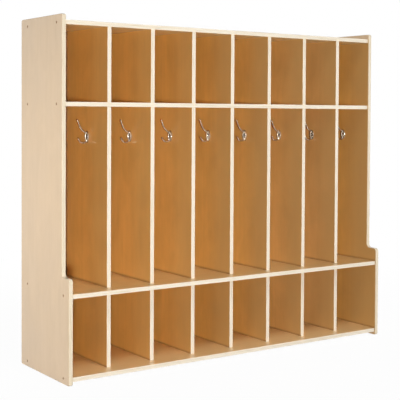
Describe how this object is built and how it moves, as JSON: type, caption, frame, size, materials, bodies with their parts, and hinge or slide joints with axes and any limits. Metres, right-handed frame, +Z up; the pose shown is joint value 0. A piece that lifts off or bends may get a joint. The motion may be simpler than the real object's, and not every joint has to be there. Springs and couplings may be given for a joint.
{
  "type": "mudroom locker unit",
  "caption": "Free-standing plywood coat locker with a bench: cubbies above, tall coat bays with double hooks and shoe cubbies below, between stepped side panels.",
  "frame": {"origin": "on the floor, in the middle of the footprint's box", "axes": "+X to the right seen from the front, +Y to the back, +Z up, so the open front faces -Y"},
  "size_m": [1.372, 0.381, 1.219],
  "materials": {
    "birch_plywood": "clear semi-gloss varnish",
    "back_board": "sealed hardboard, smooth in front",
    "hook_metal": "satin nickel",
    "bronzed_steel": "dark bronze"
  },
  "bodies": {
    "root": {"left_side_panel": "birch_plywood", "right_side_panel": "birch_plywood", "bottom_panel": "birch_plywood", "seat_shelf": "birch_plywood", "upper_shelf": "birch_plywood", "top_panel": "birch_plywood", "shoe_divider_1": "birch_plywood", "shoe_divider_2": "birch_plywood", "shoe_divider_3": "birch_plywood", "shoe_divider_4": "birch_plywood", "shoe_divider_5": "birch_plywood", "shoe_divider_6": "birch_plywood", "shoe_divider_7": "birch_plywood", "coat_divider_1": "birch_plywood", "coat_divider_2": "birch_plywood", "coat_divider_3": "birch_plywood", "coat_divider_4": "birch_plywood", "coat_divider_5": "birch_plywood", "coat_divider_6": "birch_plywood", "coat_divider_7": "birch_plywood", "cubby_divider_1": "birch_plywood", "cubby_divider_2": "birch_plywood", "cubby_divider_3": "birch_plywood", "cubby_divider_4": "birch_plywood", "cubby_divider_5": "birch_plywood", "cubby_divider_6": "birch_plywood", "cubby_divider_7": "birch_plywood", "back_panel": "back_board", "coat_hook_1": "hook_metal", "coat_hook_2": "hook_metal", "coat_hook_3": "hook_metal", "coat_hook_4": "hook_metal", "coat_hook_5": "hook_metal", "coat_hook_6": "hook_metal", "coat_hook_7": "hook_metal", "coat_hook_8": "hook_metal", "hook_screws": "hook_metal", "left_connecting_screws": "bronzed_steel", "right_connecting_screws": "bronzed_steel"}
  },
  "joints": []
}
